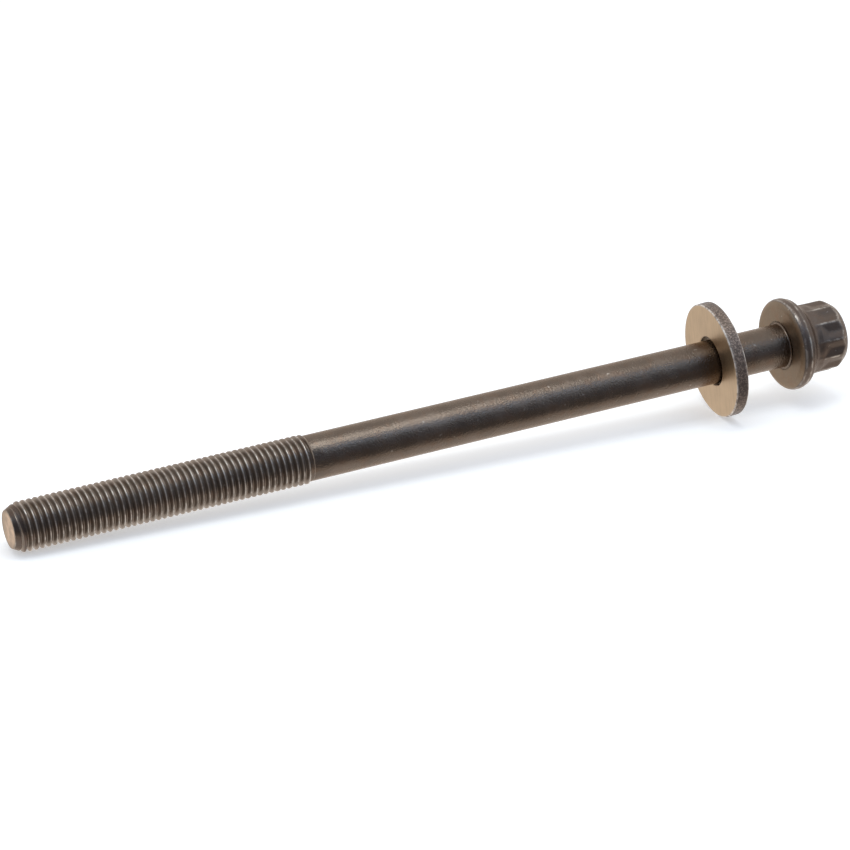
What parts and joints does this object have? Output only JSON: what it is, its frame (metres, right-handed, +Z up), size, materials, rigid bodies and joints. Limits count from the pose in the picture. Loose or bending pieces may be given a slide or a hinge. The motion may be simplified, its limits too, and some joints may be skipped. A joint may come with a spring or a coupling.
{
  "type": "cylinder head bolt",
  "caption": "Long flanged bolt with a bi-hexagonal head, a plain shank, a fine metric thread and a loose thick washer, lying at rest on a surface.",
  "frame": {"origin": "on the surface the bolt lies on, below the middle of its length and of the washer's width", "axes": "+X runs under the bolt from the threaded tip to the head, +Z is up from the surface, +Y completes them"},
  "size_m": [0.2198, 0.029, 0.029],
  "materials": {
    "bolt": "black phosphate, satin, slightly worn on the edges",
    "washer": "tumbled steel with ground faces and a dark rough rim"
  },
  "bodies": {
    "root": {"bolt": "bolt", "washer": "washer"}
  },
  "joints": []
}
